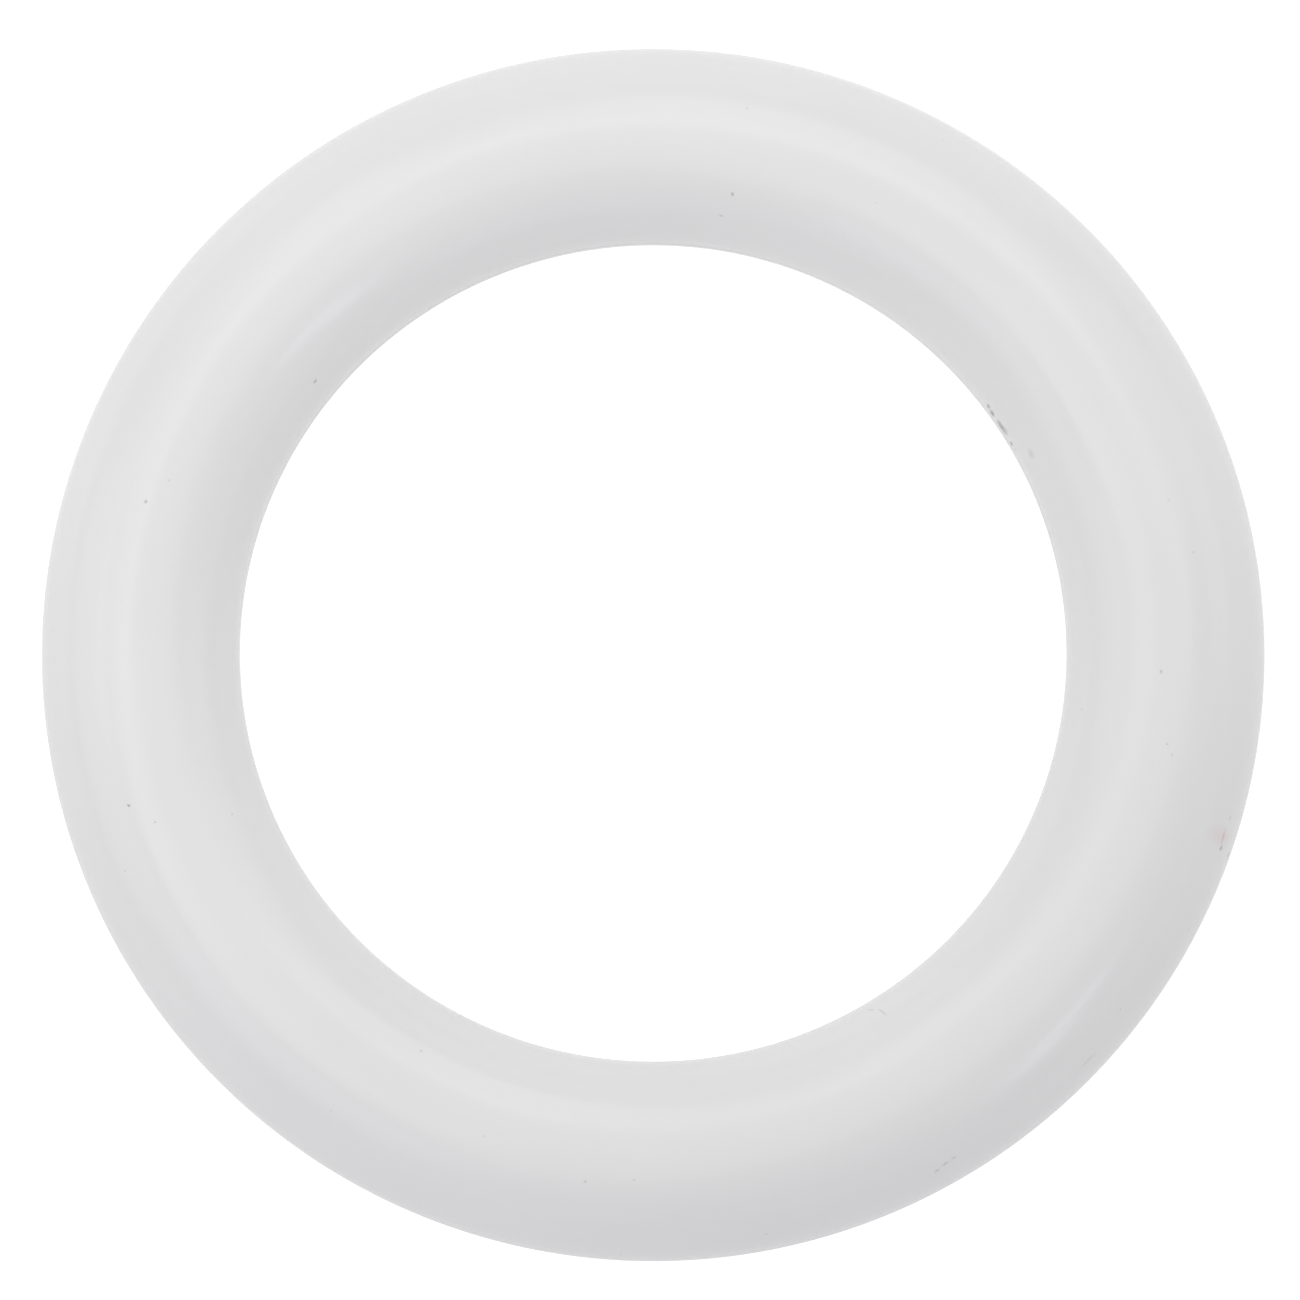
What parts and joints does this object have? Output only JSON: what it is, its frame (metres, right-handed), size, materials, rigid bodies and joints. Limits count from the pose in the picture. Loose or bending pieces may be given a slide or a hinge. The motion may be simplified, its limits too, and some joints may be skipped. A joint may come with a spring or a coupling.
{
  "type": "thick-section gymnastics hoop",
  "caption": "Closed round hoop of glossy white moulded plastic with a thick round grip section: two half shells bonded on the mid-plane round a cushioned steel core ring.",
  "frame": {"origin": "centre of the hoop, on the mid-plane where the two shells meet", "axes": "+Z along the hoop's axis, out of the front shell; the hoop lies flat with its mid-plane in XY"},
  "size_m": [0.173, 0.173, 0.028],
  "materials": {
    "shell_white": "glossy moulded white, softly polished, with fine handling marks",
    "bond_adhesive": "cured translucent adhesive",
    "core_steel": "drawn steel, zinc plated",
    "weld_steel": "as welded, heat tinted",
    "cushion_rubber": "matt extruded rubber"
  },
  "bodies": {
    "root": {"front_shell": "shell_white", "rear_shell": "shell_white", "inner_bond_bead": "bond_adhesive", "outer_bond_bead": "bond_adhesive", "core_tube": "core_steel", "core_spigot": "core_steel", "core_weld": "weld_steel", "core_cushion_1": "cushion_rubber", "core_cushion_2": "cushion_rubber", "core_cushion_3": "cushion_rubber", "core_cushion_4": "cushion_rubber", "core_cushion_5": "cushion_rubber", "core_cushion_6": "cushion_rubber", "core_cushion_7": "cushion_rubber", "core_cushion_8": "cushion_rubber"}
  },
  "joints": []
}
